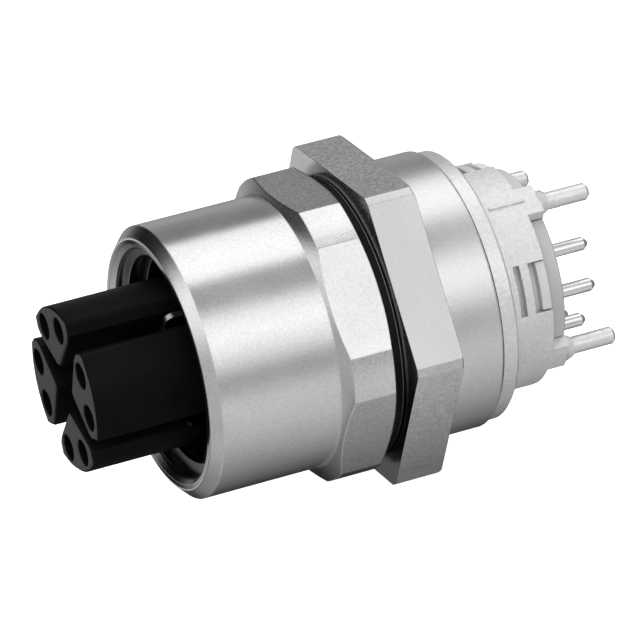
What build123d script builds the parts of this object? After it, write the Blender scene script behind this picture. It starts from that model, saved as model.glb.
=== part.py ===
from build123d import *
import math
import os

# Female panel connector with an M12 coupling thread and eight contacts in a cross-slotted insert.
# The front sleeve screws into the rear body and clamps the panel between their two hexagons.
#
# Frame: X is the connector's axis. X = 0 is the face of the circuit board, where the bosses of the
# four posts seat. +X points to the pins, -X to the mating face, and +Z through one pair of contacts.

os.makedirs("parts", exist_ok=True)

# Lengths along the axis, from the circuit board to the mating face
boss_height = 0.38
land_height = 0.97
shell_length = 2.55
shell_flange_thickness = 0.95
rear_cylinder_length = 3.02
rear_hex_thickness = 2.58
panel_gap = 0.55
front_hex_thickness = 2.9
tube_length = 7.0
insert_reach = 5.2

# Stations worked out from those lengths
land_x = -boss_height
rim_x = land_x - land_height
shell_flange_back_x = rim_x - shell_length
shell_flange_front_x = shell_flange_back_x - shell_flange_thickness
rear_hex_back_x = shell_flange_front_x - rear_cylinder_length
rear_hex_front_x = rear_hex_back_x - rear_hex_thickness
seat_x = rear_hex_front_x - panel_gap
front_hex_front_x = seat_x - front_hex_thickness
mouth_x = front_hex_front_x - tube_length
insert_front_x = mouth_x - insert_reach

# Clearances
running_gap = 0.05
slip_gap = 0.02
sleeve_end_gap = 0.15

# Angles from +Y towards +Z: one corner of both hexagons, and the first post
hex_turn = 13.5
post_angle = 45.0

# Front sleeve: M12 x 1 inner thread, left plain at its major diameter
tube_r = 7.2
tube_rim_r = 6.65
tube_chamfer_length = 0.52
thread_major_r = 6.0
mouth_chamfer = 0.35
thread_depth = 7.6
thread_runout = 0.6
front_hex_flats = 15.0
front_hex_turned_r = 8.05
front_hex_front_chamfer = 0.4
front_hex_back_chamfer = 0.25
seat_face_r = 7.5
joint_thread_r = 6.5
joint_thread_chamfer = 0.3

# Rear body
rear_hex_flats = 16.0
rear_hex_turned_r = 9.1
rear_hex_corner_chamfer = 0.08
rear_cylinder_r = 7.38
edge_break = 0.1

# Shield shell
shell_flange_r = 7.18
shell_r = 6.0
shell_wall = 0.5
shell_lip_height = 0.3
shell_lip_length = 0.5
spigot_length = 0.6
seam_width = 0.08
seam_depth = 0.35
rib_count = 2
rib_width = 0.16
rib_rise = 0.1
rib_length = 2.0
rib_setback = 0.15
land_width = 1.76
land_depth = 1.45
post_inset = 0.57
post_r = 0.46
post_length = 2.5
post_tip_chamfer = 0.16
boss_r = 0.7
boss_taper = 20.0
window_width = 2.66
window_length = 0.95
slot_length = 0.34
slot_depth = 0.38
slot_from_rim = 1.44

# Contact insert
lobe_count = 4
insert_r = 4.34
lobe_apex = 1.15
lobe_shoulder_out = 2.62
lobe_shoulder_half = 2.0
lobe_side_out = 3.0
lobe_half = 2.27
lobe_apex_fillet = 0.3
lobe_corner_fillet = 0.25
insert_edge_chamfer = 0.14
insert_base_gap = 0.1
insert_base_setback = 0.3
collar_length = 0.75
seal_groove_setback = 1.5
seal_section = 0.66
seal_squeeze_gap = 0.03
seal_side_gap = 0.05

# Contacts: two to a lobe
pair_out = 3.2
pair_half = 1.09
contact_hole_r = 0.73
socket_r = 0.68
socket_bore_r = 0.42
socket_depth = 5.0
socket_setback = 1.2
tail_r = 0.36
tail_length = 2.22
tail_tip_length = 0.25
tail_tip_r = 0.16

# Shield cross: two crossed sheets, halved together
plate_thickness = 0.3
plate_corner_fillet = 0.45
plate_setback = -0.1
plate_wing_length = 1.6
plate_wing_step = 0.48

# Rear carrier
carrier_floor = 1.2
carrier_gap = 0.12
carrier_edge_chamfer = 0.08
tab_half_gap = 0.08
tab_recess = 0.12
tab_length = 0.5

# Panel seal
seal_outer_r = 7.44
seal_bevel = 0.07
seal_face_gap = 0.06

# Radii and stations that depend on a neighbour
shell_cavity_r = shell_r - shell_wall
shell_lip_r = shell_cavity_r - shell_lip_height
post_circle_r = shell_r - post_inset
sleeve_end_x = shell_flange_front_x - spigot_length - sleeve_end_gap
spigot_front_x = shell_flange_front_x - spigot_length
lip_back_x = shell_flange_front_x + shell_lip_length
insert_back_x = lip_back_x + collar_length
insert_base_front_x = mouth_x + thread_depth + insert_base_setback
insert_base_r = shell_lip_r - running_gap
sleeve_bore_r = insert_base_r + insert_base_gap
insert_collar_r = shell_cavity_r - running_gap
carrier_r = shell_cavity_r - carrier_gap
rear_bore_r = joint_thread_r + running_gap
spigot_r = rear_bore_r - slip_gap
key_width = land_width + 2 * running_gap
land_inner_r = shell_r - land_depth
key_inner_r = land_inner_r - running_gap
plate_front_x = mouth_x + plate_setback
plate_wing_r = land_inner_r - slip_gap
plate_r = plate_wing_r - plate_wing_step
plate_slot_width = plate_thickness + 2 * slip_gap
plate_back_x = land_x - carrier_floor
seal_groove_x = insert_base_front_x + seal_groove_setback
seal_ring_r = sleeve_bore_r - seal_squeeze_gap - seal_section / 2
seal_groove_r = seal_ring_r - seal_section / 2 - slip_gap
seal_groove_width = seal_section + 2 * seal_side_gap
socket_front_x = insert_front_x + socket_setback

# Front sleeve
with BuildPart() as front_sleeve:
    with BuildSketch(Plane.YZ.offset(front_hex_front_x)):
        RegularPolygon(front_hex_flats / 2, 6, major_radius=False, rotation=hex_turn)
    extrude(amount=front_hex_thickness)
    with BuildSketch(Plane.XY):
        with BuildLine():
            Polyline(
                (front_hex_front_x, 0),
                (front_hex_front_x, tube_r),
                (front_hex_front_x + front_hex_front_chamfer, front_hex_turned_r),
                (seat_x - front_hex_back_chamfer, front_hex_turned_r),
                (seat_x, seat_face_r),
                (seat_x, 0),
                close=True,
            )
        make_face()
    revolve(axis=Axis.X, mode=Mode.INTERSECT)
    with BuildSketch(Plane.XY):
        with BuildLine():
            Polyline(
                (mouth_x, 0),
                (mouth_x, tube_rim_r),
                (mouth_x + tube_chamfer_length, tube_r),
                (front_hex_front_x, tube_r),
                (seat_x, tube_r),
                (seat_x, joint_thread_r),
                (sleeve_end_x - joint_thread_chamfer, joint_thread_r),
                (sleeve_end_x, joint_thread_r - joint_thread_chamfer),
                (sleeve_end_x, 0),
                close=True,
            )
        make_face()
    revolve(axis=Axis.X)
    with BuildSketch(Plane.XY):
        with BuildLine():
            Polyline(
                (mouth_x, 0),
                (mouth_x, thread_major_r + mouth_chamfer),
                (mouth_x + mouth_chamfer, thread_major_r),
                (mouth_x + thread_depth - thread_runout, thread_major_r),
                (mouth_x + thread_depth, sleeve_bore_r),
                (sleeve_end_x, sleeve_bore_r),
                (sleeve_end_x, 0),
                close=True,
            )
        make_face()
    revolve(axis=Axis.X, mode=Mode.SUBTRACT)
front_sleeve.part.label = "front_sleeve"
export_step(front_sleeve.part, "parts/front_sleeve.step")

# Panel seal: a flat rubber ring behind the front hexagon
with BuildPart() as panel_seal:
    with BuildSketch(Plane.XY):
        with BuildLine():
            Polyline(
                (seat_x, rear_bore_r + running_gap),
                (seat_x, seal_outer_r),
                (rear_hex_front_x - seal_face_gap - seal_bevel, seal_outer_r),
                (rear_hex_front_x - seal_face_gap, seal_outer_r - seal_bevel),
                (rear_hex_front_x - seal_face_gap, rear_bore_r + running_gap),
                close=True,
            )
        make_face()
    revolve(axis=Axis.X)
panel_seal.part.label = "panel_seal"
export_step(panel_seal.part, "parts/panel_seal.step")

# Rear body: hexagon and cylinder turned from one bar
with BuildPart() as rear_body:
    with BuildSketch(Plane.YZ.offset(rear_hex_front_x)):
        RegularPolygon(rear_hex_flats / 2, 6, major_radius=False, rotation=hex_turn)
    extrude(amount=rear_hex_thickness)
    with BuildSketch(Plane.XY):
        with BuildLine():
            Polyline(
                (rear_hex_front_x, 0),
                (rear_hex_front_x, rear_hex_turned_r),
                (rear_hex_back_x - rear_hex_corner_chamfer, rear_hex_turned_r),
                (rear_hex_back_x, rear_hex_turned_r - rear_hex_corner_chamfer),
                (rear_hex_back_x, 0),
                close=True,
            )
        make_face()
    revolve(axis=Axis.X, mode=Mode.INTERSECT)
    with BuildSketch(Plane.XY):
        with BuildLine():
            Polyline(
                (rear_hex_front_x, 0),
                (rear_hex_front_x, rear_cylinder_r),
                (shell_flange_front_x - edge_break, rear_cylinder_r),
                (shell_flange_front_x, rear_cylinder_r - edge_break),
                (shell_flange_front_x, 0),
                close=True,
            )
        make_face()
    revolve(axis=Axis.X)
    with BuildSketch(Plane.YZ.offset(rear_hex_front_x)):
        Circle(rear_bore_r)
    extrude(amount=shell_flange_front_x - rear_hex_front_x, mode=Mode.SUBTRACT)
rear_body.part.label = "rear_body"
export_step(rear_body.part, "parts/rear_body.step")

# Shield shell: cast with its flange, lands, bosses and posts
with BuildPart() as shield_shell:
    with BuildSketch(Plane.XY):
        with BuildLine():
            Polyline(
                (spigot_front_x, shell_lip_r),
                (spigot_front_x, spigot_r),
                (shell_flange_front_x, spigot_r),
                (shell_flange_front_x, shell_flange_r - seam_depth),
                (shell_flange_front_x + seam_width, shell_flange_r - seam_depth),
                (shell_flange_front_x + seam_width, shell_flange_r),
                (shell_flange_back_x - edge_break, shell_flange_r),
                (shell_flange_back_x, shell_flange_r - edge_break),
                (shell_flange_back_x, shell_r),
                (rim_x, shell_r),
                (rim_x, shell_cavity_r),
                (lip_back_x, shell_cavity_r),
                (lip_back_x, shell_lip_r),
                close=True,
            )
        make_face()
    revolve(axis=Axis.X)
    # Lands behind the rim, one for each post
    with BuildSketch(Plane.YZ.offset(lip_back_x)):
        with PolarLocations(0, lobe_count, start_angle=post_angle):
            with Locations((shell_r, 0)):
                Rectangle(2 * land_depth, land_width)
        Circle(shell_r, mode=Mode.INTERSECT)
    extrude(amount=land_x - lip_back_x)
    # Casting ribs where the mould parts, along two of the lands
    with BuildSketch(Plane.YZ.offset(rim_x + rib_setback)):
        with PolarLocations(shell_r, rib_count, start_angle=post_angle + 90):
            Rectangle(2 * rib_rise, rib_width)
    extrude(amount=-rib_length)
    # Bosses and posts
    with BuildSketch(Plane.YZ.offset(land_x)):
        with PolarLocations(post_circle_r, lobe_count, start_angle=post_angle):
            Circle(boss_r)
    extrude(amount=boss_height, taper=boss_taper)
    with BuildSketch(Plane.YZ):
        with PolarLocations(post_circle_r, lobe_count, start_angle=post_angle):
            Circle(post_r)
    extrude(amount=post_length)
    chamfer(shield_shell.faces().sort_by(Axis.X)[-lobe_count:].edges(), post_tip_chamfer)
    # Latch windows, open to the rim, and the thin slots in front of them
    with BuildSketch(Plane.YZ.offset(rim_x)):
        with PolarLocations(shell_r, lobe_count):
            Rectangle(4 * (shell_r - shell_cavity_r), window_width)
    extrude(amount=-window_length, mode=Mode.SUBTRACT)
    with BuildSketch(Plane.YZ.offset(rim_x - slot_from_rim)):
        with PolarLocations(shell_r, lobe_count):
            Rectangle(2 * (shell_r - shell_cavity_r), window_width)
        Circle(shell_r - slot_depth, mode=Mode.SUBTRACT)
    extrude(amount=-slot_length, mode=Mode.SUBTRACT)
shield_shell.part.label = "shield_shell"
export_step(shield_shell.part, "parts/shield_shell.step")

# Outline of one lobe, pointing along its own x
with BuildSketch() as lobe_outline:
    with BuildLine():
        lobe_corner = math.sqrt(insert_r**2 - lobe_half**2)
        Polyline(
            (lobe_corner, lobe_half),
            (lobe_side_out, lobe_half),
            (lobe_shoulder_out, lobe_shoulder_half),
            (lobe_apex, 0),
            (lobe_shoulder_out, -lobe_shoulder_half),
            (lobe_side_out, -lobe_half),
            (lobe_corner, -lobe_half),
        )
        ThreePointArc((lobe_corner, -lobe_half), (insert_r, 0), (lobe_corner, lobe_half))
    make_face()
    fillet(lobe_outline.vertices().sort_by(Axis.X)[0], lobe_apex_fillet)
    fillet(lobe_outline.vertices().group_by(Axis.X)[-1], lobe_corner_fillet)

# Insert lobes, each with a pair of contact holes
for number in range(lobe_count):
    with BuildPart() as lobe:
        with BuildSketch(Plane.YZ.offset(insert_front_x)):
            with PolarLocations(0, 1, start_angle=number * 360 / lobe_count):
                add(lobe_outline.sketch)
        extrude(amount=insert_base_front_x - insert_front_x)
        chamfer(lobe.faces().sort_by(Axis.X)[0].edges(), insert_edge_chamfer)
        with BuildSketch(Plane.YZ.offset(insert_front_x)):
            with PolarLocations(0, 1, start_angle=number * 360 / lobe_count):
                with Locations((pair_out, pair_half), (pair_out, -pair_half)):
                    Circle(contact_hole_r)
        extrude(amount=insert_base_front_x - insert_front_x, mode=Mode.SUBTRACT)
    lobe.part.label = f"insert_lobe_{number + 1}"
    export_step(lobe.part, f"parts/insert_lobe_{number + 1}.step")

# Contact insert: the disc behind the lobes, with a collar that seats on the shell's lip
with BuildPart() as contact_insert:
    with BuildSketch(Plane.YZ.offset(insert_base_front_x)):
        Circle(insert_base_r)
    extrude(amount=insert_back_x - insert_base_front_x)
    with BuildSketch(Plane.YZ.offset(lip_back_x)):
        Circle(insert_collar_r)
    extrude(amount=collar_length)
    # Keyways for the shell's lands
    with BuildSketch(Plane.YZ.offset(lip_back_x)):
        with PolarLocations(0, lobe_count, start_angle=post_angle):
            with Locations((key_inner_r + shell_r / 2, 0)):
                Rectangle(shell_r, key_width)
    extrude(amount=collar_length, mode=Mode.SUBTRACT)
    # Groove for the seal in the sleeve's bore
    with BuildSketch(Plane.YZ.offset(seal_groove_x - seal_groove_width / 2)):
        Circle(shell_r)
        Circle(seal_groove_r, mode=Mode.SUBTRACT)
    extrude(amount=seal_groove_width, mode=Mode.SUBTRACT)
    # Cross slot through the base for the shield sheets
    with BuildSketch(Plane.YZ.offset(insert_base_front_x)):
        with PolarLocations(0, 2, start_angle=post_angle, angular_range=180):
            Rectangle(2 * (plate_r + slip_gap), plate_slot_width)
    extrude(amount=insert_back_x - insert_base_front_x, mode=Mode.SUBTRACT)
    with BuildSketch(Plane.YZ.offset(insert_base_front_x)):
        with PolarLocations(0, lobe_count):
            with Locations((pair_out, pair_half), (pair_out, -pair_half)):
                Circle(contact_hole_r)
    extrude(amount=insert_back_x - insert_base_front_x, mode=Mode.SUBTRACT)
contact_insert.part.label = "contact_insert"
export_step(contact_insert.part, "parts/contact_insert.step")

# Insert seal: a square rubber ring in the groove
with BuildPart() as insert_seal:
    with BuildSketch(Plane.XY):
        with Locations((seal_groove_x, seal_ring_r)):
            Rectangle(seal_section, seal_section)
    revolve(axis=Axis.X)
insert_seal.part.label = "insert_seal"
export_step(insert_seal.part, "parts/insert_seal.step")

# Shield cross: each sheet has a front part in the slots and wings that meet the shell's lands.
# Sheet a is halved from the back and sheet b from the front.
halving_x = (plate_front_x + plate_back_x) / 2
wing_front_x = plate_back_x - plate_wing_length
sheets = [
    ("shield_plate_a", post_angle, halving_x, plate_back_x),
    ("shield_plate_b", post_angle + 90, plate_front_x, halving_x),
]
for sheet_name, sheet_angle, cut_from_x, cut_to_x in sheets:
    sheet_plane = Plane.XY.rotated((sheet_angle, 0, 0))
    with BuildPart() as sheet:
        with BuildSketch(sheet_plane):
            with Locations(((plate_front_x + plate_back_x) / 2, 0)):
                Rectangle(plate_back_x - plate_front_x, 2 * plate_r)
            with Locations(((wing_front_x + plate_back_x) / 2, 0)):
                Rectangle(plate_wing_length, 2 * plate_wing_r)
        extrude(amount=plate_thickness / 2, both=True)
        across = Axis((0, 0, 0), tuple(sheet_plane.z_dir))
        fillet(sheet.edges().filter_by(across).group_by(Axis.X)[0], plate_corner_fillet)
        with BuildSketch(sheet_plane):
            with Locations(((cut_from_x + cut_to_x) / 2, 0)):
                Rectangle(cut_to_x - cut_from_x, plate_slot_width)
        extrude(amount=plate_thickness, both=True, mode=Mode.SUBTRACT)
    sheet.part.label = sheet_name
    export_step(sheet.part, f"parts/{sheet_name}.step")

# Rear carrier: holds the tails in line and latches into the shell's windows
with BuildPart() as rear_carrier:
    with BuildSketch(Plane.YZ.offset(insert_back_x)):
        Circle(carrier_r)
        with PolarLocations(0, lobe_count, start_angle=post_angle):
            with Locations((key_inner_r + shell_r / 2, 0)):
                Rectangle(shell_r, key_width, mode=Mode.SUBTRACT)
    extrude(amount=land_x - insert_back_x)
    chamfer(rear_carrier.faces().sort_by(Axis.X)[-1].edges(), carrier_edge_chamfer)
    with BuildSketch(Plane.YZ.offset(rim_x - tab_length)):
        with PolarLocations(0, lobe_count):
            with Locations((shell_r / 2, 0)):
                Rectangle(shell_r, window_width - 2 * tab_half_gap)
        Circle(shell_r - tab_recess, mode=Mode.INTERSECT)
    extrude(amount=tab_length)
    with BuildSketch(Plane.YZ.offset(insert_back_x)):
        with PolarLocations(0, 2, start_angle=post_angle, angular_range=180):
            Rectangle(2 * shell_r, plate_slot_width)
    extrude(amount=plate_back_x - insert_back_x, mode=Mode.SUBTRACT)
    with BuildSketch(Plane.YZ.offset(insert_back_x)):
        with PolarLocations(0, lobe_count):
            with Locations((pair_out, pair_half), (pair_out, -pair_half)):
                Circle(tail_r + slip_gap)
    extrude(amount=land_x - insert_back_x, mode=Mode.SUBTRACT)
rear_carrier.part.label = "rear_carrier"
export_step(rear_carrier.part, "parts/rear_carrier.step")

# Contacts: socket and solder tail turned in one piece, with the socket's shoulder on the carrier
contact_places = []
for lobe in range(lobe_count):
    lobe_angle = math.radians(lobe * 360 / lobe_count)
    for side in (-1, 1):
        contact_y = pair_out * math.cos(lobe_angle) - side * pair_half * math.sin(lobe_angle)
        contact_z = pair_out * math.sin(lobe_angle) + side * pair_half * math.cos(lobe_angle)
        contact_places.append((contact_y, contact_z))

for number, (contact_y, contact_z) in enumerate(contact_places, start=1):
    contact_plane = Plane.XY.offset(contact_z)
    contact_axis = Axis((0, contact_y, contact_z), (1, 0, 0))
    with BuildPart() as contact:
        with BuildSketch(contact_plane):
            with BuildLine():
                Polyline(
                    (socket_front_x + socket_depth, contact_y),
                    (socket_front_x + socket_depth, contact_y + socket_bore_r),
                    (socket_front_x, contact_y + socket_bore_r),
                    (socket_front_x, contact_y + socket_r),
                    (insert_back_x, contact_y + socket_r),
                    (insert_back_x, contact_y + tail_r),
                    (tail_length - tail_tip_length, contact_y + tail_r),
                    (tail_length, contact_y + tail_tip_r),
                    (tail_length, contact_y),
                    close=True,
                )
            make_face()
        revolve(axis=contact_axis)
    contact.part.label = f"contact_{number}"
    export_step(contact.part, f"parts/contact_{number}.step")
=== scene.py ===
import math

import bmesh
import bpy
from mathutils import Matrix, Vector


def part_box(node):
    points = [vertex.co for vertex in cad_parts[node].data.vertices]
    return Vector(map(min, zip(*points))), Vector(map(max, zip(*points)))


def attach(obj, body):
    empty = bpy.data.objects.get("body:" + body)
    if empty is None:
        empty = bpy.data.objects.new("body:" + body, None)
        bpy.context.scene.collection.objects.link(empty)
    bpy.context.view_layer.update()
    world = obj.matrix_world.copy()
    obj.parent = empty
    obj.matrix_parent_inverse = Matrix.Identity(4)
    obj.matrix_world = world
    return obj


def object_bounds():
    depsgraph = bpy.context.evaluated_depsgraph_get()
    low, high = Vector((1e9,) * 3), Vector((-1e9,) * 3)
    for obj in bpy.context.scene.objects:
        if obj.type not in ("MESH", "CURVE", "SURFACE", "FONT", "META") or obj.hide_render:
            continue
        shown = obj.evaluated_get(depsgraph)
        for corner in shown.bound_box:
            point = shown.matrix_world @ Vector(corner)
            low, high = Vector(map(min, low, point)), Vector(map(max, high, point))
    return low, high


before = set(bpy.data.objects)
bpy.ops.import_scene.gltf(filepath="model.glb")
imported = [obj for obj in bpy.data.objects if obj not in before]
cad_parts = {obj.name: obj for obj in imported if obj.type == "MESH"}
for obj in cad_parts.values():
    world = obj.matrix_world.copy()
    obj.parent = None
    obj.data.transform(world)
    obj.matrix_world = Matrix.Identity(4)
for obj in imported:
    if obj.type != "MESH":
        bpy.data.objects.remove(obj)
cad_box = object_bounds()

# All lengths are in metres. The connector's axis is X, and its mouth is at the -X end.

# Stations along the axis, from the frame
sleeve_low, sleeve_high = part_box("front_sleeve")
seal_low, seal_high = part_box("panel_seal")
rear_low, rear_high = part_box("rear_body")
insert_low, insert_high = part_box("insert_lobe_1")
mouth_x = sleeve_low.x
seat_x = seal_low.x
seal_back_x = seal_high.x
rear_hex_front_x = rear_low.x
insert_front_x = insert_low.x

# Further places where a piece's surface changes
tube_length = 0.007
tube_end_x = mouth_x + tube_length
rear_hex_thickness = 0.00258
rear_hex_back_x = rear_hex_front_x + rear_hex_thickness
flange_back_x = -0.0039
rim_x = -0.00135
board_x = 0.0
insert_edge = 0.00014
seal_edge = 0.00008
bore_radius = 0.0061
rim_edge_radius = 0.00655
rim_face_depth = 0.000002
# Heights between which the painted light and shade on flats that face down runs from light to dark
low_flats_top_z = -0.0021
low_flats_bottom_z = -0.008

# Camera, at the photograph's angle: it aims at a point on the axis and leans to the right
aim = Vector((-0.01179, 0.00002, 0.00008))
camera_azimuth = math.radians(-20.114)
camera_elevation = math.radians(10.754)
camera_roll = math.radians(-10.977)
camera_distance = 0.3086
camera_lens = 337.5

# Studio: a tent of soft light and dark cloth round the axis, which only reflections see
tent_radius = 0.9
tent_half_length = 1.6
tent_segments = 180
# The end in front of the mouth brightens upwards and is dimmer behind the connector
tent_front_low = 0.47
tent_front_high = 1.05
tent_front_z_range = (-0.05, 0.6)
tent_front_behind = 0.5
tent_front_y_range = (0.25, 0.75)
tent_front_fade = 0.1
tent_back_end = 0.2
tent_back_fade = 0.4
# Brightness of the wall at angles in degrees from +Y towards +Z
tent_bands = [
    (0, 0.30),
    (22, 0.38),
    (38, 0.25),
    (61, 0.17),
    (68, 1.1),
    (90, 1.25),
    (107, 1.25),
    (116, 0.38),
    (134, 0.42),
    (147, 1.05),
    (162, 1.2),
    (178, 0.95),
    (196, 0.36),
    (204, 0.42),
    (216, 0.63),
    (228, 0.62),
    (245, 0.54),
    (270, 0.36),
    (300, 0.17),
    (326, 0.04),
    (348, 0.04),
]
# The same for the wall behind the connector on the mouth's side, which the chamfers reflect.
# Across the two ranges it takes over from the rest of the wall.
tent_corner_y_range = (-0.2, 0.15)
tent_corner_x_range = (0.12, -0.16)
tent_corner_bands = [
    (0, 0.55),
    (5, 0.3),
    (10, 0.15),
    (16, 0.06),
    (22, 0.0),
    (50, 0.0),
    (60, 0.12),
    (68, 0.6),
    (76, 1.0),
    (90, 1.05),
    (270, 0.55),
    (280, 0.5),
    (288, 0.41),
    (295, 0.33),
    (302, 0.26),
    (320, 0.2),
    (326, 0.12),
    (331, 0.0),
    (338, 0.0),
    (346, 0.5),
]

# Floor, lamps and world
floor_drop = 0.0004
floor_half = 6.0
floor_grey = 0.6
floor_glow = 0.92
world_soft_level = 0.45

# Inner thread of the sleeve, M12 x 1. Its foot lies a little inside the sleeve's wall.
thread_major = 0.00602
thread_minor = 0.00546
thread_pitch = 0.001
thread_mouth_radius = 0.00635
thread_start_angle = math.radians(128)
thread_turns = 6.6
thread_run_out_turns = 0.5
thread_steps = 96
thread_crest_half = 0.00014
thread_foot_half = 0.00031
thread_foot_overlap = 0.00002
sharp_edge = math.radians(25)

# Outer thread of the sleeve, behind its hexagon, as a bump
joint_relief = 0.0002
joint_thread_foot = 0.0063
joint_thread_pitch = 0.001
joint_thread_depth = 0.0003

# Detail that all plated metal shares; scales are in features to the metre
line_stretch = 0.012
fine_line_scale = 14000
broad_line_scale = 2500
broad_line_share = 0.4
grain_on_lines = 0.15
grain_off_lines = 1.15
stain_scale = 260
speckle_share = 0.8
# Surfaces that slope less than this along X count as flats and cylinders, the rest as across the axis
flat_slope = 0.3
# Flats that face down more than this get painted light and shade
faces_down_rise = -0.5
# Painted shade in grooves and corners, from ambient occlusion within this reach
crevice_reach = 0.0005
crevice_closed = 0.3
crevice_open = 0.8
# Painted shadow below a height fades in over this
shadow_fade = 0.001
# Painted shade in the sleeve's bore, deepening between the two distances from the mouth
bore_wall_share = 0.1
bore_lit_fade = 0.3
bore_dark_from = 0.0014
bore_dark_to = 0.0036

# Plastics and rubber
flow_scale = 350
moulded_edge = 0.00006

# Noise values that count as a pattern's dark and light ends
noise_low = 0.3
noise_high = 0.7


# Shader nodes


def add_node(tree, kind, inputs=(), **settings):
    """A new node; inputs are (socket, value or linked output) pairs."""
    node = tree.nodes.new(kind)
    for name, value in settings.items():
        setattr(node, name, value)
    for socket, value in inputs:
        if isinstance(value, bpy.types.NodeSocket):
            tree.links.new(value, node.inputs[socket])
        else:
            node.inputs[socket].default_value = value
    return node


def calc(tree, operation, first, second=0.0):
    """The output of one Math node."""
    return add_node(tree, "ShaderNodeMath", [(0, first), (1, second)], operation=operation).outputs[0]


def split(tree, vector):
    """The X, Y and Z parts of a vector."""
    parts = add_node(tree, "ShaderNodeSeparateXYZ", [(0, vector)])
    return parts.outputs["X"], parts.outputs["Y"], parts.outputs["Z"]


def distance_from_axis(tree, y, z):
    """The radius of a place, from its Y and Z."""
    squares = [calc(tree, "MULTIPLY", side, side) for side in (y, z)]
    return calc(tree, "SQRT", calc(tree, "ADD", *squares))


def full_turns(tree, y, z):
    """The angle round the axis from +Y towards +Z, in full turns from -0.5 to 0.5."""
    return calc(tree, "DIVIDE", calc(tree, "ARCTAN2", z, y), 2 * math.pi)


def spread(tree, value, low, high, low_value, high_value, curve="LINEAR"):
    """Runs from one value to the other between low and high, and stays level beyond them."""
    inputs = [
        ("Value", value),
        ("From Min", low),
        ("From Max", high),
        ("To Min", low_value),
        ("To Max", high_value),
    ]
    return add_node(tree, "ShaderNodeMapRange", inputs, interpolation_type=curve).outputs[0]


def smooth_step(tree, value, low, high, low_value=0.0, high_value=1.0):
    """Runs smoothly from one value to the other between low and high."""
    return spread(tree, value, low, high, low_value, high_value, curve="SMOOTHSTEP")


def mapped(tree, factor, low_value, high_value):
    """A noise value spread over a range."""
    return spread(tree, factor, noise_low, noise_high, low_value, high_value)


def blended(tree, share, first, second):
    """The first value where the share is 0 and the second where it is 1."""
    kept = calc(tree, "MULTIPLY", first, calc(tree, "SUBTRACT", 1.0, share))
    return calc(tree, "ADD", kept, calc(tree, "MULTIPLY", second, share))


def noise(tree, vector, scale, detail=2.0, roughness=0.5):
    """The grey output of a noise texture."""
    inputs = [("Vector", vector), ("Scale", scale), ("Detail", detail), ("Roughness", roughness)]
    return add_node(tree, "ShaderNodeTexNoise", inputs).outputs["Fac"]


def varied_grey(tree, factor, dark, light, shading=1.0):
    """A grey that runs from dark to light with the factor, times the shading."""
    grey = calc(tree, "MULTIPLY", mapped(tree, factor, dark, light), shading)
    return add_node(tree, "ShaderNodeCombineColor", [(0, grey), (1, grey), (2, grey)]).outputs[0]


def new_material(name):
    """A material with an empty node tree, its output node, and its object coordinates."""
    material = bpy.data.materials.new(name)
    material.use_nodes = True
    tree = material.node_tree
    tree.nodes.clear()
    output = add_node(tree, "ShaderNodeOutputMaterial")
    place = add_node(tree, "ShaderNodeTexCoord").outputs["Object"]
    return material, tree, output, place


def shade(tree, output, colour, roughness, metallic, height, depth, edge, specular=0.5):
    """A principled surface with a bump of the given height and depth, and edges softened to a radius."""
    soft_edge = add_node(tree, "ShaderNodeBevel", [("Radius", edge)], samples=6)
    bump = add_node(tree, "ShaderNodeBump", [
        ("Height", height),
        ("Distance", depth),
        ("Strength", 1.0),
        ("Normal", soft_edge.outputs[0]),
    ])
    surface = add_node(tree, "ShaderNodeBsdfPrincipled", [
        ("Base Color", colour),
        ("Roughness", roughness),
        ("Metallic", metallic),
        ("Specular IOR Level", specular),
        ("Normal", bump.outputs[0]),
    ])
    tree.links.new(surface.outputs[0], output.inputs["Surface"])


# Plated metal


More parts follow.
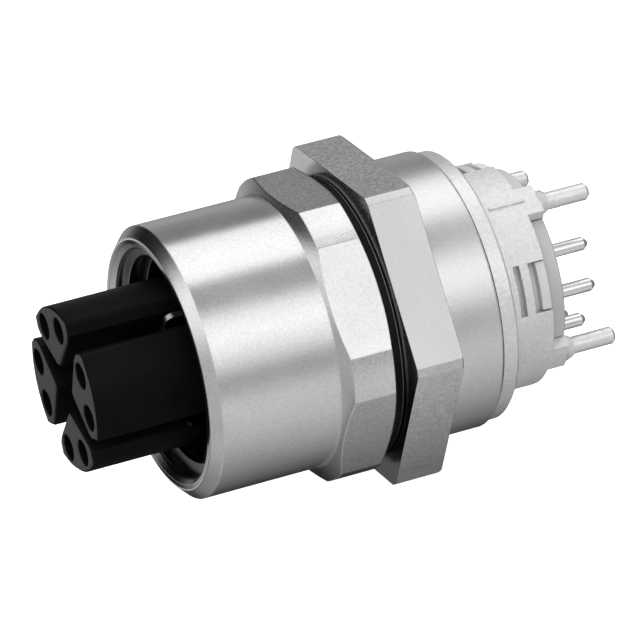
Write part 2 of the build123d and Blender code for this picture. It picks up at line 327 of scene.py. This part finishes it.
class PlatedMetal:
    """Nickel plate over turned or cast metal: turning lines, fine grain and slight stains.

    Each further method changes or adds one feature, and finish makes the material. The tone is
    multiplied by painted shade in grooves and corners and by all shades: the milled flats' own tone,
    and painted light and shade that stand for the light and shadow of near, real surroundings."""

    def __init__(self, name, tone, roughness, line_depth, grain_depth, grain_size,
                 mottle=0.06, crevice=0.45, metallic=1.0):
        self.material, self.tree, self.output, place = new_material(name)
        tree = self.tree
        self.tone = tone
        self.mottle = mottle
        self.depth = line_depth + grain_depth
        self.x, self.y, self.z = split(tree, place)
        self.radius = distance_from_axis(tree, self.y, self.z)
        normal = add_node(tree, "ShaderNodeNewGeometry").outputs["True Normal"]
        self.slope, _, self.rise = split(tree, normal)
        self.along = calc(tree, "LESS_THAN", calc(tree, "ABSOLUTE", self.slope), flat_slope)

        turned = self.turned_place()
        fine_lines = noise(tree, turned, fine_line_scale, detail=3)
        broad_lines = noise(tree, turned, broad_line_scale, detail=1)
        lines = blended(tree, broad_line_share, fine_lines, broad_lines)
        grain = noise(tree, place, 1 / grain_size, detail=3, roughness=0.6)
        line_share = line_depth / self.depth
        self.lines_height = calc(tree, "MULTIPLY", lines, line_share)
        self.grain_height = calc(tree, "MULTIPLY", grain, 1 - line_share)
        self.more_heights = []

        self.stains = noise(tree, place, stain_scale, detail=3)
        self.speckle = noise(tree, place, speckle_share / grain_size, detail=1)
        self.roughness = mapped(tree, self.stains, roughness - 0.03, roughness + 0.04)
        self.metallic = metallic
        self.crevice = crevice
        self.shades = []

    def turned_place(self):
        """Coordinates that change fast along X or the radius and slowly round the axis."""
        tree = self.tree
        inputs = [
            ("X", calc(tree, "ADD", self.x, self.radius)),
            ("Y", calc(tree, "MULTIPLY", self.y, line_stretch)),
            ("Z", calc(tree, "MULTIPLY", self.z, line_stretch)),
        ]
        return add_node(tree, "ShaderNodeCombineXYZ", inputs).outputs[0]

    def keep_lines_before(self, end_x):
        """Leaves turning lines only on the mouth's side of a plane, and most of the grain on the other."""
        tree = self.tree
        lined = calc(tree, "LESS_THAN", self.x, end_x)
        self.lines_height = calc(tree, "MULTIPLY", self.lines_height, lined)
        grain_share = blended(tree, lined, grain_off_lines, grain_on_lines)
        self.grain_height = calc(tree, "MULTIPLY", self.grain_height, grain_share)

    def leave_as_cast(self, front_x, back_x, roughness, metallic, crevice):
        """Leaves the surface between two planes as cast, duller and rougher, with its own share of painted
        shade in grooves.
        """
        before_back = calc(self.tree, "LESS_THAN", self.x, back_x)
        as_cast = calc(self.tree, "MULTIPLY", before_back, calc(self.tree, "GREATER_THAN", self.x, front_x))
        self.roughness = blended(self.tree, as_cast, self.roughness, roughness)
        self.metallic = blended(self.tree, as_cast, self.metallic, metallic)
        self.crevice = blended(self.tree, as_cast, self.crevice, crevice)

    def mill_flats(self, side, side_x, roughness, tone, speckle, painted_light_top, painted_shade_bottom):
        """Gives the flats on one side of a plane their own roughness, tone and speckle.

        The side is LESS_THAN or GREATER_THAN. Flats that face down also get painted light and shade: their
        tone is multiplied by the top share at the low flats' upper height, fading to the bottom share at
        their lower one."""
        tree = self.tree
        milled = calc(tree, "MULTIPLY", self.along, calc(tree, side, self.x, side_x))
        milled_roughness = mapped(tree, self.speckle, roughness - 0.08, roughness + 0.08)
        self.roughness = blended(tree, milled, self.roughness, milled_roughness)
        milled_tone = mapped(tree, self.speckle, tone - speckle, tone + speckle)
        # Painted light and shade on flats that face down: lighter at their upper edge, darker lower down
        faces_down = calc(tree, "LESS_THAN", self.rise, faces_down_rise)
        fade = spread(tree, self.z, low_flats_bottom_z, low_flats_top_z, painted_shade_bottom, painted_light_top)
        milled_tone = calc(tree, "MULTIPLY", milled_tone, blended(tree, faces_down, 1.0, fade))
        self.shades.append(blended(tree, milled, 1.0, milled_tone))

    def set_cross_roughness(self, roughness):
        """Gives chamfers and faces across the axis their own roughness."""
        self.roughness = blended(self.tree, self.along, roughness, self.roughness)

    def add_joint_thread(self):
        """The sleeve's outer thread, as a bump: 0 at its roots and its full depth at its crests."""
        tree = self.tree
        turns = calc(tree, "DIVIDE", self.x, joint_thread_pitch)
        turns = calc(tree, "SUBTRACT", turns, full_turns(tree, self.y, self.z))
        profile = calc(tree, "MULTIPLY", calc(tree, "PINGPONG", turns, 0.5), 2.0)
        threaded = calc(tree, "GREATER_THAN", self.x, seat_x + joint_relief)
        outside = calc(tree, "GREATER_THAN", self.radius, joint_thread_foot)
        helix = calc(tree, "MULTIPLY", profile, calc(tree, "MULTIPLY", threaded, outside))
        self.more_heights.append(calc(tree, "MULTIPLY", helix, joint_thread_depth / self.depth))

    def widen_mouth_chamfer(self):
        """A bump that turns the inner part of the sleeve's end face into more of the mouth's chamfer."""
        tree = self.tree
        on_face = calc(tree, "LESS_THAN", self.x, mouth_x + rim_face_depth)
        fall = calc(tree, "MINIMUM", calc(tree, "SUBTRACT", self.radius, rim_edge_radius), 0.0)
        self.more_heights.append(calc(tree, "MULTIPLY", on_face, calc(tree, "DIVIDE", fall, self.depth)))

    def paint_bore_shade(self, darkest, lit_slope=None):
        """Paints shade on the walls of the sleeve's bore, and more of it deep in the bore.

        With lit_slope, surfaces that slope more than that towards the mouth stay light."""
        tree = self.tree
        inside = calc(tree, "LESS_THAN", self.radius, bore_radius)
        depth = smooth_step(tree, self.x, mouth_x + bore_dark_from, mouth_x + bore_dark_to, 1.0, darkest)
        wall = bore_wall_share
        if lit_slope is not None:
            wall = smooth_step(tree, self.slope, lit_slope, lit_slope + bore_lit_fade, 1.0, bore_wall_share)
        self.shades.append(blended(tree, inside, 1.0, calc(tree, "MULTIPLY", depth, wall)))

    def paint_underside_shade(self, light_above, dark_below, darkest):
        """Paints shade on chamfers and faces across the axis low down; heights are shares of the radius."""
        height = calc(self.tree, "DIVIDE", self.z, self.radius)
        low = smooth_step(self.tree, height, dark_below, light_above, darkest, 1.0)
        self.shades.append(blended(self.tree, self.along, low, 1.0))

    def paint_shade_below(self, height, darkest):
        """Paints shade on everything below a height."""
        self.shades.append(smooth_step(self.tree, self.z, height - shadow_fade, height, darkest, 1.0))

    def crevice_shade(self):
        """Painted shade in grooves and corners: 1 on open surfaces, down to the crevice's share where
        ambient occlusion finds them closed.
        """
        inputs = [("Distance", crevice_reach)]
        openness = add_node(self.tree, "ShaderNodeAmbientOcclusion", inputs, samples=8).outputs["AO"]
        return smooth_step(self.tree, openness, crevice_closed, crevice_open, self.crevice, 1.0)

    def finish(self, edge=0.00007):
        """Makes the shader from all features, with edges softened to a radius."""
        tree = self.tree
        shading = self.crevice_shade()
        for further in self.shades:
            shading = calc(tree, "MULTIPLY", shading, further)
        height = calc(tree, "ADD", self.lines_height, self.grain_height)
        for more in self.more_heights:
            height = calc(tree, "ADD", height, more)
        patches = blended(tree, 0.5, self.stains, self.speckle)
        colour = varied_grey(tree, patches, self.tone - self.mottle, self.tone + 0.8 * self.mottle, shading)
        shade(tree, self.output, colour, self.roughness, self.metallic, height, self.depth, edge)
        return self.material


def sleeve_nickel():
    """Front sleeve: lines on the tube, milled flats with painted light and shade on those that face down,
    and painted shade inside the bore.
    """
    metal = PlatedMetal(
        "sleeve_nickel",
        tone=0.82,
        mottle=0.09,
        roughness=0.2,
        line_depth=0.000004,
        grain_depth=0.000006,
        grain_size=0.00012,
        crevice=0.7,
    )
    metal.keep_lines_before(tube_end_x)
    metal.mill_flats(
        side="GREATER_THAN",
        side_x=tube_end_x,
        roughness=0.22,
        tone=0.97,
        speckle=0.05,
        painted_light_top=1.3,
        painted_shade_bottom=0.42,
    )
    metal.set_cross_roughness(0.24)
    metal.add_joint_thread()
    metal.widen_mouth_chamfer()
    metal.paint_bore_shade(0.06)
    return metal.finish(edge=0.00012)


def body_nickel():
    """Rear body: milled flats with painted light and shade on those that face down, a satin cylinder, and
    painted shade on chamfers and end faces low down.
    """
    metal = PlatedMetal(
        "body_nickel",
        tone=0.82,
        roughness=0.3,
        line_depth=0.000001,
        grain_depth=0.000008,
        grain_size=0.00014,
    )
    metal.mill_flats(
        side="LESS_THAN",
        side_x=rear_hex_back_x,
        roughness=0.42,
        tone=0.88,
        speckle=0.06,
        painted_light_top=1.45,
        painted_shade_bottom=0.58,
    )
    metal.set_cross_roughness(0.18)
    metal.paint_underside_shade(light_above=-0.15, dark_below=-0.55, darkest=0.06)
    return metal.finish()


def cast_nickel():
    """Shield shell: smoother on its flange ring and posts, with deep painted shade in their grooves, and as
    cast between them.
    """
    metal = PlatedMetal(
        "cast_nickel",
        tone=0.84,
        mottle=0.1,
        roughness=0.4,
        line_depth=0.0000005,
        grain_depth=0.00003,
        grain_size=0.00017,
        crevice=0.05,
        metallic=0.88,
    )
    metal.leave_as_cast(flange_back_x, board_x, roughness=0.58, metallic=0.85, crevice=0.75)
    return metal.finish()


def sheet_nickel():
    """Shield sheets: a dark tone that paints the shade deep in the mouth, and painted shadow below the
    axis.
    """
    metal = PlatedMetal(
        "sheet_nickel",
        # A dark tone: painted shade for sheets that sit deep in the mouth
        tone=0.4,
        roughness=0.28,
        line_depth=0.000001,
        grain_depth=0.000002,
        grain_size=0.0001,
    )
    metal.paint_shade_below(0.0, 0.02)
    return metal.finish()


def contact_plate():
    """Contacts: bright plate."""
    metal = PlatedMetal(
        "contact_plate",
        tone=0.93,
        roughness=0.24,
        line_depth=0.0000015,
        grain_depth=0.000001,
        grain_size=0.0001,
    )
    return metal.finish()


def thread_nickel():
    """Inner thread: painted shade on crests, roots and the lower half, and less of it on flanks that face
    the mouth.
    """
    metal = PlatedMetal(
        "thread_nickel",
        tone=0.84,
        roughness=0.3,
        line_depth=0.000001,
        grain_depth=0.000001,
        grain_size=0.0001,
        crevice=0.15,
    )
    metal.paint_bore_shade(0.05, lit_slope=-0.5)
    metal.paint_shade_below(-0.002, 0.2)
    return metal.finish()


# Moulded plastic and rubber


def moulded(name, dark, light, roughness, grain_size, grain_depth, lighter_side, lighter_from_x, lighter_tone_and_light, specular=0.5):
    """Fine grain, faint flow marks and softened edges.

    One side of a plane, LESS_THAN or GREATER_THAN, is made lighter by an added tone: painted light on some
    parts, a lighter colour of its own on others."""
    material, tree, output, place = new_material(name)
    x = split(tree, place)[0]
    grain = noise(tree, place, 1 / grain_size)
    flow = noise(tree, place, flow_scale, detail=3)
    added = calc(tree, "MULTIPLY", calc(tree, lighter_side, x, lighter_from_x), lighter_tone_and_light)
    colour = varied_grey(tree, flow, calc(tree, "ADD", dark, added), calc(tree, "ADD", light, added))
    rough = mapped(tree, grain, roughness - 0.05, roughness + 0.07)
    shade(tree, output, colour, rough, 0.0, grain, grain_depth, moulded_edge, specular)
    return material


def insert_black():
    """Insert: black, with painted light on the lobes' front faces."""
    return moulded(
        "insert_black",
        dark=0.0015,
        light=0.003,
        roughness=0.45,
        grain_size=0.00012,
        grain_depth=0.000003,
        specular=0.06,
        lighter_side="LESS_THAN",
        lighter_from_x=insert_front_x + insert_edge / 2,
        lighter_tone_and_light=0.035,
    )


def carrier_grey():
    """Rear carrier: mid grey, and paler inside the shell's rim."""
    return moulded(
        "carrier_grey",
        dark=0.33,
        light=0.38,
        roughness=0.5,
        grain_size=0.00012,
        grain_depth=0.000003,
        lighter_side="LESS_THAN",
        lighter_from_x=rim_x,
        lighter_tone_and_light=0.11,
    )


def seal_black():
    """Seals: black rubber, with a painted highlight from the panel seal's back edge on."""
    return moulded(
        "seal_black",
        dark=0.003,
        light=0.006,
        roughness=0.5,
        grain_size=0.0001,
        grain_depth=0.000004,
        specular=0.1,
        lighter_side="GREATER_THAN",
        lighter_from_x=seal_back_x - seal_edge,
        lighter_tone_and_light=0.14,
    )


# The CAD nodes and their materials


def dress(nodes, material):
    """Gives CAD nodes one material."""
    for node in nodes:
        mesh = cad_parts[node].data
        mesh.materials.clear()
        mesh.materials.append(material)


dress(["front_sleeve"], sleeve_nickel())
dress(["rear_body"], body_nickel())
dress(["shield_shell"], cast_nickel())
dress(["shield_plate_a", "shield_plate_b"], sheet_nickel())
dress([f"contact_{number}" for number in range(1, 9)], contact_plate())
dress(["contact_insert"] + [f"insert_lobe_{number}" for number in range(1, 5)], insert_black())
dress(["rear_carrier"], carrier_grey())
dress(["panel_seal", "insert_seal"], seal_black())


# Inner thread


def mesh_object(name, builder, material, smooth=True):
    """A new object whose mesh the builder function fills in."""
    mesh = bpy.data.meshes.new(name)
    shape = bmesh.new()
    builder(shape)
    for face in shape.faces:
        face.smooth = smooth
    shape.to_mesh(mesh)
    shape.free()
    mesh.set_sharp_from_angle(angle=sharp_edge)
    mesh.materials.append(material)
    thing = bpy.data.objects.new(name, mesh)
    bpy.context.scene.collection.objects.link(thing)
    return thing


def thread_ridge(shape):
    """A helical ridge inside the sleeve's bore, cut back by the mouth's chamfer and run out at its end."""
    rings = []
    steps = int(thread_turns * thread_steps)
    run_out_steps = thread_steps * thread_run_out_turns
    start_x = mouth_x + thread_foot_half
    for step in range(steps + 1):
        angle = 2 * math.pi * step / thread_steps
        x = start_x + thread_pitch * step / thread_steps
        chamfer_limit = thread_mouth_radius - (x - mouth_x)
        run_out = thread_major - (steps - step) / run_out_steps * (thread_major - thread_minor)
        crest = min(thread_major, max(thread_minor, chamfer_limit, run_out))
        ring = []
        for offset, radius in (
            (-thread_foot_half, thread_major + thread_foot_overlap),
            (-thread_crest_half, crest),
            (thread_crest_half, crest),
            (thread_foot_half, thread_major + thread_foot_overlap),
        ):
            turned = angle + thread_start_angle
            place = (x + offset, radius * math.cos(turned), -radius * math.sin(turned))
            ring.append(shape.verts.new(place))
        rings.append(ring)
    for first, second in zip(rings, rings[1:]):
        for corner in range(4):
            after = (corner + 1) % 4
            shape.faces.new((first[corner], first[after], second[after], second[corner]))
    shape.faces.new(rings[0])
    shape.faces.new(rings[-1])
    bmesh.ops.recalc_face_normals(shape, faces=shape.faces)


sleeve_thread = mesh_object("sleeve_thread", thread_ridge, thread_nickel())
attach(sleeve_thread, "sleeve")


# Tent


def tent_wall(shape):
    """A tube round the axis, closed at both ends."""
    rings = []
    for segment in range(tent_segments):
        angle = 2 * math.pi * segment / tent_segments
        y = tent_radius * math.cos(angle)
        z = tent_radius * math.sin(angle)
        ring = (shape.verts.new((-tent_half_length, y, z)), shape.verts.new((tent_half_length, y, z)))
        rings.append(ring)
    for first, second in zip(rings, rings[1:] + rings[:1]):
        shape.faces.new((first[0], first[1], second[1], second[0]))
    shape.faces.new([ring[0] for ring in rings])
    shape.faces.new([ring[1] for ring in rings])


def band_brightness(tree, turn, bands):
    """Brightness round the tent; turn is 0 to 1 for a full turn, and bands are in degrees."""
    brightest = max(brightness for degrees, brightness in bands)
    ramp = add_node(tree, "ShaderNodeValToRGB", [("Fac", turn)])
    stops = ramp.color_ramp.elements
    wrapped = bands + [(360, bands[0][1])]
    while len(stops) < len(wrapped):
        stops.new(0.5)
    for stop, (degrees, brightness) in zip(stops, wrapped):
        stop.position = degrees / 360
    for stop, (degrees, brightness) in zip(stops, wrapped):
        grey = brightness / brightest
        stop.color = (grey, grey, grey, 1.0)
    return calc(tree, "MULTIPLY", ramp.outputs["Color"], brightest)


def tent_brightness(tree, place):
    """Brightness of the tent: its bands, the corner behind the mouth, and the two ends."""
    x, y, z = split(tree, place)
    turn = calc(tree, "FRACT", calc(tree, "ADD", full_turns(tree, y, z), 1.0))
    bands = band_brightness(tree, turn, tent_bands)
    corner = band_brightness(tree, turn, tent_corner_bands)
    behind = smooth_step(tree, y, *tent_corner_y_range)
    towards_mouth = smooth_step(tree, x, *tent_corner_x_range)
    wall = blended(tree, calc(tree, "MULTIPLY", behind, towards_mouth), bands, corner)
    front_end = smooth_step(tree, z, *tent_front_z_range, tent_front_low, tent_front_high)
    front_dimming = smooth_step(tree, y, *tent_front_y_range, 1.0, tent_front_behind)
    front_end = calc(tree, "MULTIPLY", front_end, front_dimming)
    at_front = smooth_step(tree, x, -tent_half_length + tent_front_fade, -tent_half_length)
    at_back = smooth_step(tree, x, tent_half_length - tent_back_fade, tent_half_length)
    return blended(tree, at_back, blended(tree, at_front, wall, front_end), tent_back_end)


def tent_light():
    """The tent's material: it only emits."""
    material, tree, output, place = new_material("stage_tent_light")
    glow = add_node(tree, "ShaderNodeEmission", [("Strength", tent_brightness(tree, place))])
    tree.links.new(glow.outputs[0], output.inputs["Surface"])
    return material


tent = mesh_object("stage_tent", tent_wall, tent_light())
tent.visible_camera = False
tent.visible_diffuse = False
tent.visible_transmission = False
tent.visible_volume_scatter = False
tent.visible_shadow = False


# Floor


def floor_sheet(shape):
    """A large square just below the connector."""
    z = cad_box[0][2] - floor_drop
    corners = [(-1, -1), (1, -1), (1, 1), (-1, 1)]
    shape.faces.new([shape.verts.new((floor_half * x, floor_half * y, z)) for x, y in corners])


def floor_white():
    """White to the camera with a faint shadow, and plain grey to everything else."""
    material, tree, output, place = new_material("stage_floor_white")
    paper = add_node(tree, "ShaderNodeBsdfDiffuse", [("Color", (floor_grey, floor_grey, floor_grey, 1.0))])
    glow = add_node(tree, "ShaderNodeEmission", [("Strength", floor_glow)])
    nothing = add_node(tree, "ShaderNodeEmission", [("Strength", 0.0)])
    rays = add_node(tree, "ShaderNodeLightPath")
    seen_glow = add_node(tree, "ShaderNodeMixShader", [
        (0, rays.outputs["Is Camera Ray"]),
        (1, nothing.outputs[0]),
        (2, glow.outputs[0]),
    ])
    both = add_node(tree, "ShaderNodeAddShader", [(0, paper.outputs[0]), (1, seen_glow.outputs[0])])
    tree.links.new(both.outputs[0], output.inputs["Surface"])
    return material


floor = mesh_object("stage_floor", floor_sheet, floor_white(), smooth=False)
floor.visible_glossy = False


# Lamps, world and camera


def area_light(name, place, size, power):
    """A soft square lamp aimed at the part, for plastics, rubber and floor; metals see the tent instead."""
    data = bpy.data.lights.new(name, "AREA")
    data.shape = "SQUARE"
    data.size = size
    data.energy = power
    lamp = bpy.data.objects.new(name, data)
    lamp.location = place
    lamp.rotation_euler = (aim - Vector(place)).to_track_quat("-Z", "Y").to_euler()
    lamp.visible_glossy = False
    bpy.context.scene.collection.objects.link(lamp)


def studio_world():
    """White to camera, mirror and glass rays, and soft white light for the rest."""
    world = bpy.data.worlds.new("studio")
    world.use_nodes = True
    tree = world.node_tree
    tree.nodes.clear()
    output = add_node(tree, "ShaderNodeOutputWorld")
    rays = add_node(tree, "ShaderNodeLightPath").outputs
    mirror_or_glass = calc(tree, "MAXIMUM", rays["Is Glossy Ray"], rays["Is Transmission Ray"])
    white_seen = calc(tree, "MAXIMUM", rays["Is Camera Ray"], mirror_or_glass)
    more_light = calc(tree, "MULTIPLY", white_seen, 1.0 - world_soft_level)
    level = calc(tree, "ADD", world_soft_level, more_light)
    light = add_node(tree, "ShaderNodeBackground", [("Color", (1, 1, 1, 1)), ("Strength", level)])
    tree.links.new(light.outputs[0], output.inputs["Surface"])
    return world


def photo_camera():
    """The camera of the photograph."""
    data = bpy.data.cameras.new("photo_camera")
    data.lens = camera_lens
    data.sensor_width = 36.0
    data.clip_start = 0.01
    data.clip_end = 50.0
    camera = bpy.data.objects.new("photo_camera", data)
    turn_to_view = (
        Matrix.Rotation(camera_azimuth, 4, "Z")
        @ Matrix.Rotation(math.pi / 2 - camera_elevation, 4, "X")
        @ Matrix.Rotation(camera_roll, 4, "Z")
    )
    stand_off = Matrix.Translation((0, 0, camera_distance))
    camera.matrix_world = Matrix.Translation(aim) @ turn_to_view @ stand_off
    bpy.context.scene.collection.objects.link(camera)
    return camera


area_light("overhead_box", place=(-0.15, -0.1, 0.8), size=0.7, power=7.0)
area_light("front_box", place=(-0.2, -0.8, 0.35), size=0.6, power=5.0)
area_light("left_box", place=(-0.8, -0.25, 0.2), size=0.5, power=3.0)
bpy.context.scene.world = studio_world()
bpy.context.scene.camera = photo_camera()
bpy.context.scene.view_settings.view_transform = "Standard"
